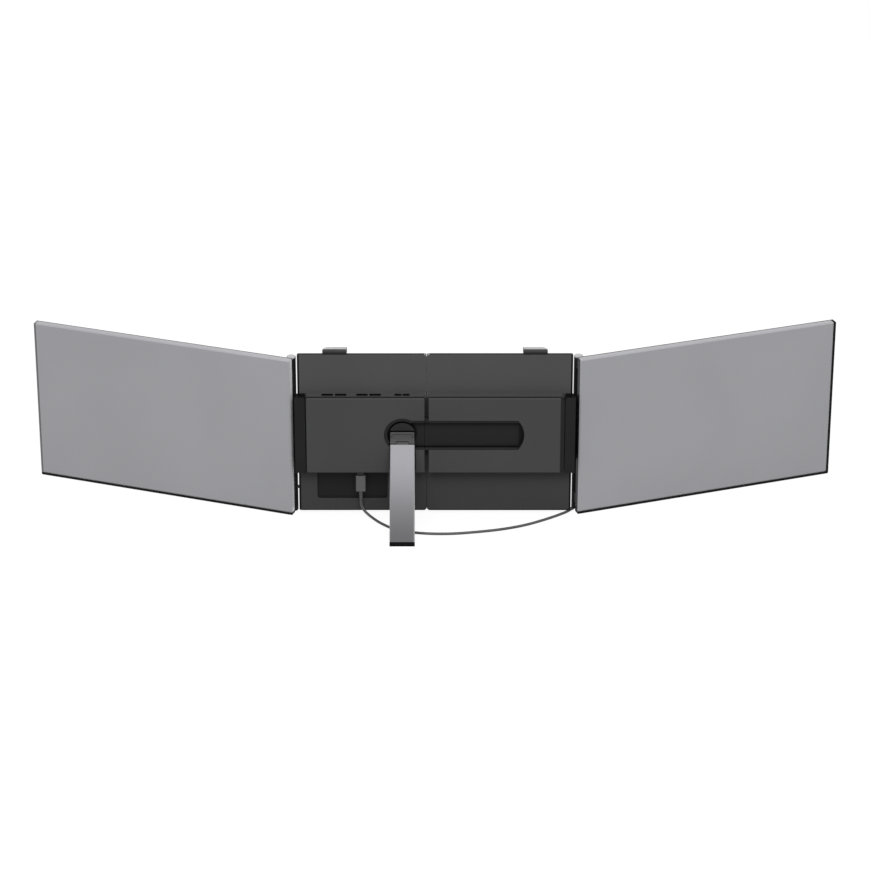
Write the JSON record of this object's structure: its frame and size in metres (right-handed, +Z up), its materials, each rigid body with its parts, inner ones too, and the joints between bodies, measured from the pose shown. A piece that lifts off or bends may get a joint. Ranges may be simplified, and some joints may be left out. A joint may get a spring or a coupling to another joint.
{
  "type": "laptop screen extender",
  "caption": "Folding laptop screen extender: telescoping centre bracket with lid hooks and kickstand, a display wing hinged at each side, sockets and a lead.",
  "frame": {"origin": "on the table, below the middle of the open object", "axes": "+X from the left wing to the right wing, +Y towards the laptop user, +Z up"},
  "size_m": [0.8913, 0.19, 0.1979],
  "materials": {
    "anodised_cover": "fine blasted, anodised silver grey",
    "frame_plastic": "fine satin black",
    "screen_glass": "anti-glare screen glass",
    "display_module": "dark display module",
    "circuit_board": "green solder mask",
    "bracket_plastic": "fine spark texture, dark grey",
    "housing_plastic": "fine spark texture, dark grey",
    "hinge_alloy": "satin black paint",
    "hinge_cap": "light grey",
    "pin_steel": "turned steel",
    "screw_steel": "black oxide",
    "soft_pad": "soft matte rubber",
    "key_plastic": "satin black keys",
    "hook_plastic": "satin dark grey",
    "guide_plastic": "natural acetal",
    "socket_steel": "bright nickel",
    "socket_plastic": "black insulator",
    "plug_plastic": "grey overmould",
    "plug_metal": "dark nickel",
    "cable_jacket": "grey flexible jacket",
    "sheet_steel": "zinc plated",
    "turntable_plastic": "dark grey",
    "hinge_block_alloy": "grey satin paint",
    "leg_alloy": "fine blasted, anodised grey",
    "foot_rubber": "black rubber"
  },
  "bodies": {
    "left_half": {"left_bracket_plate": "bracket_plastic", "left_front_panel": "bracket_plastic", "left_panel_screws": "screw_steel", "left_lid_pads": "soft_pad", "left_housing": "housing_plastic", "left_cover": "housing_plastic", "left_hinge_arm": "hinge_alloy", "left_hinge_barrel": "hinge_alloy", "left_hinge_foot": "hinge_alloy", "left_hinge_pins": "pin_steel", "slide_guides": "guide_plastic", "hub_board": "circuit_board", "hub_studs": "pin_steel", "usb_a_shells": "socket_steel", "usb_c_shells": "socket_steel", "usb_tongues": "socket_plastic", "cable_plug": "plug_plastic", "plug_tip": "plug_metal", "strain_relief": "cable_jacket", "power_cable": "cable_jacket", "cable_sleeve": "soft_pad"},
    "right_half": {"right_bracket_plate": "bracket_plastic", "right_front_panel": "bracket_plastic", "right_panel_screws": "screw_steel", "right_lid_pads": "soft_pad", "right_housing": "housing_plastic", "right_cover": "housing_plastic", "right_hinge_arm": "hinge_alloy", "right_hinge_barrel": "hinge_alloy", "right_hinge_foot": "hinge_alloy", "right_hinge_pins": "pin_steel", "slide_sheet": "sheet_steel", "sheet_screws": "screw_steel", "cable_grommet": "soft_pad"},
    "left_wing": {"left_wing_cover": "anodised_cover", "left_screen_frame": "frame_plastic", "left_screen_glass": "screen_glass", "left_display_panel": "display_module", "left_driver_board": "circuit_board", "left_wing_brackets": "hinge_alloy", "left_hinge_cap": "hinge_cap"},
    "right_wing": {"right_wing_cover": "anodised_cover", "right_screen_frame": "frame_plastic", "right_screen_glass": "screen_glass", "right_display_panel": "display_module", "right_driver_board": "circuit_board", "right_wing_brackets": "hinge_alloy", "right_hinge_cap": "hinge_cap"},
    "stand_turntable": {"stand_disc": "turntable_plastic", "stand_retainer": "pin_steel", "stand_hinge_block": "hinge_block_alloy", "stand_hinge_pin": "pin_steel"},
    "stand_arm": {"stand_leg": "leg_alloy", "stand_foot": "foot_rubber"},
    "left_lid_hook": {"left_hook": "hook_plastic"},
    "right_lid_hook": {"right_hook": "hook_plastic"},
    "left_power_key": {"left_power_button": "key_plastic"},
    "left_menu_key": {"left_menu_button": "key_plastic"},
    "right_power_key": {"right_power_button": "key_plastic"},
    "right_menu_key": {"right_menu_button": "key_plastic"}
  },
  "joints": [
    {"name": "bracket_slide", "type": "slide", "parent": "left_half", "child": "right_half", "axis": [1, 0, 0], "range_m": [0, 0.06], "deforming": ["power_cable"]},
    {"name": "left_wing_hinge", "type": "hinge", "parent": "left_half", "child": "left_wing", "pos_m": [-0.1562, -0.0028, 0], "axis": [0, 0, -1], "range_deg": [-19.9, 160.1]},
    {"name": "right_wing_hinge", "type": "hinge", "parent": "right_half", "child": "right_wing", "pos_m": [0.1562, 0.0029, 0], "axis": [0, 0, 1], "range_deg": [-19.9, 160.1]},
    {"name": "stand_swivel", "type": "hinge", "parent": "left_half", "child": "stand_turntable", "pos_m": [-0.0357, -0.0199, 0.1009], "axis": [0, -1, 0], "range_deg": [0, 90]},
    {"name": "stand_tilt", "type": "hinge", "parent": "stand_turntable", "child": "stand_arm", "pos_m": [-0.0357, -0.0199, 0.0909], "axis": [1, 0, 0], "range_deg": [0, 37.2]},
    {"name": "left_hook_lift", "type": "slide", "parent": "left_half", "child": "left_lid_hook", "axis": [0, 0, 1], "range_m": [0, 0.01]},
    {"name": "right_hook_lift", "type": "slide", "parent": "right_half", "child": "right_lid_hook", "axis": [0, 0, 1], "range_m": [0, 0.01]},
    {"name": "left_power_press", "type": "slide", "parent": "left_wing", "child": "left_power_key", "axis": [0.9403, -0.3404, 0], "range_m": [0, 0.0006], "stiffness_N_per_m": 900, "springref_m": -0.0006},
    {"name": "left_menu_press", "type": "slide", "parent": "left_wing", "child": "left_menu_key", "axis": [0.9403, -0.3404, 0], "range_m": [0, 0.0006], "stiffness_N_per_m": 900, "springref_m": -0.0006},
    {"name": "right_power_press", "type": "slide", "parent": "right_wing", "child": "right_power_key", "axis": [-0.9403, -0.3404, 0], "range_m": [0, 0.0006], "stiffness_N_per_m": 900, "springref_m": -0.0006},
    {"name": "right_menu_press", "type": "slide", "parent": "right_wing", "child": "right_menu_key", "axis": [-0.9403, -0.3404, 0], "range_m": [0, 0.0006], "stiffness_N_per_m": 900, "springref_m": -0.0006}
  ]
}
